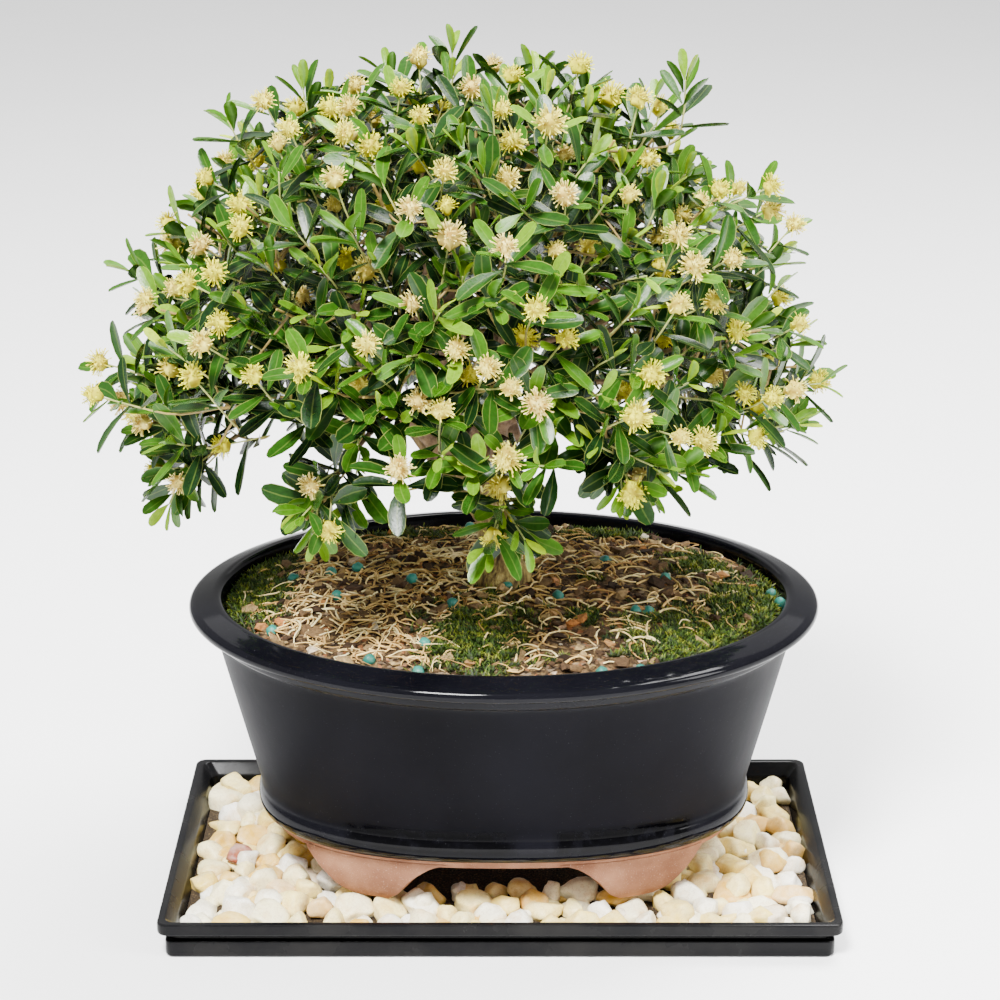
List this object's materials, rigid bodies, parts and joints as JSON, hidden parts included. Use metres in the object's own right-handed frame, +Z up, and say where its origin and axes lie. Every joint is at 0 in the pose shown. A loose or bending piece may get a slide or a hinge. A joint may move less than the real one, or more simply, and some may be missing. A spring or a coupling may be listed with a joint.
{
  "type": "flowering boxwood bonsai in an oval pot on a humidity tray",
  "caption": "Small rounded boxwood tree in flower, growing in a glazed oval pot on cloud feet that stands on pebbles in a shallow humidity tray.",
  "frame": {"origin": "middle of the tray's flat underside", "axes": "+Z up; -Y is the front, from which the plant is looked at; +X to the viewer's right"},
  "size_m": [0.2337, 0.1968, 0.2768],
  "materials": {
    "tray_plastic": "satin",
    "pebble_stone": "matte",
    "pot_glaze": "gloss",
    "screen_plastic": "matte",
    "soil_mix": "matte",
    "bark": "matte",
    "leaf_green": "satin"
  },
  "bodies": {
    "root": {"tray": "tray_plastic", "pebble_bed": "pebble_stone", "pot": "pot_glaze", "drain_screen_left": "screen_plastic", "drain_screen_right": "screen_plastic", "soil": "soil_mix", "trunk": "bark", "spray_01": "leaf_green", "spray_02": "leaf_green", "spray_03": "leaf_green", "spray_04": "leaf_green", "spray_05": "leaf_green", "spray_06": "leaf_green", "spray_07": "leaf_green", "spray_08": "leaf_green", "spray_09": "leaf_green", "spray_10": "leaf_green", "spray_11": "leaf_green", "spray_12": "leaf_green", "spray_13": "leaf_green", "spray_14": "leaf_green", "spray_15": "leaf_green", "spray_16": "leaf_green", "spray_17": "leaf_green", "spray_18": "leaf_green", "spray_19": "leaf_green", "spray_20": "leaf_green", "spray_21": "leaf_green", "spray_22": "leaf_green", "spray_23": "leaf_green", "spray_24": "leaf_green", "spray_25": "leaf_green", "spray_26": "leaf_green", "spray_27": "leaf_green", "spray_28": "leaf_green", "spray_29": "leaf_green", "spray_30": "leaf_green", "spray_31": "leaf_green", "spray_32": "leaf_green", "spray_33": "leaf_green", "spray_34": "leaf_green", "spray_35": "leaf_green", "spray_36": "leaf_green", "spray_37": "leaf_green", "spray_38": "leaf_green", "spray_39": "leaf_green", "spray_40": "leaf_green", "spray_41": "leaf_green", "spray_42": "leaf_green", "spray_43": "leaf_green"}
  },
  "joints": []
}
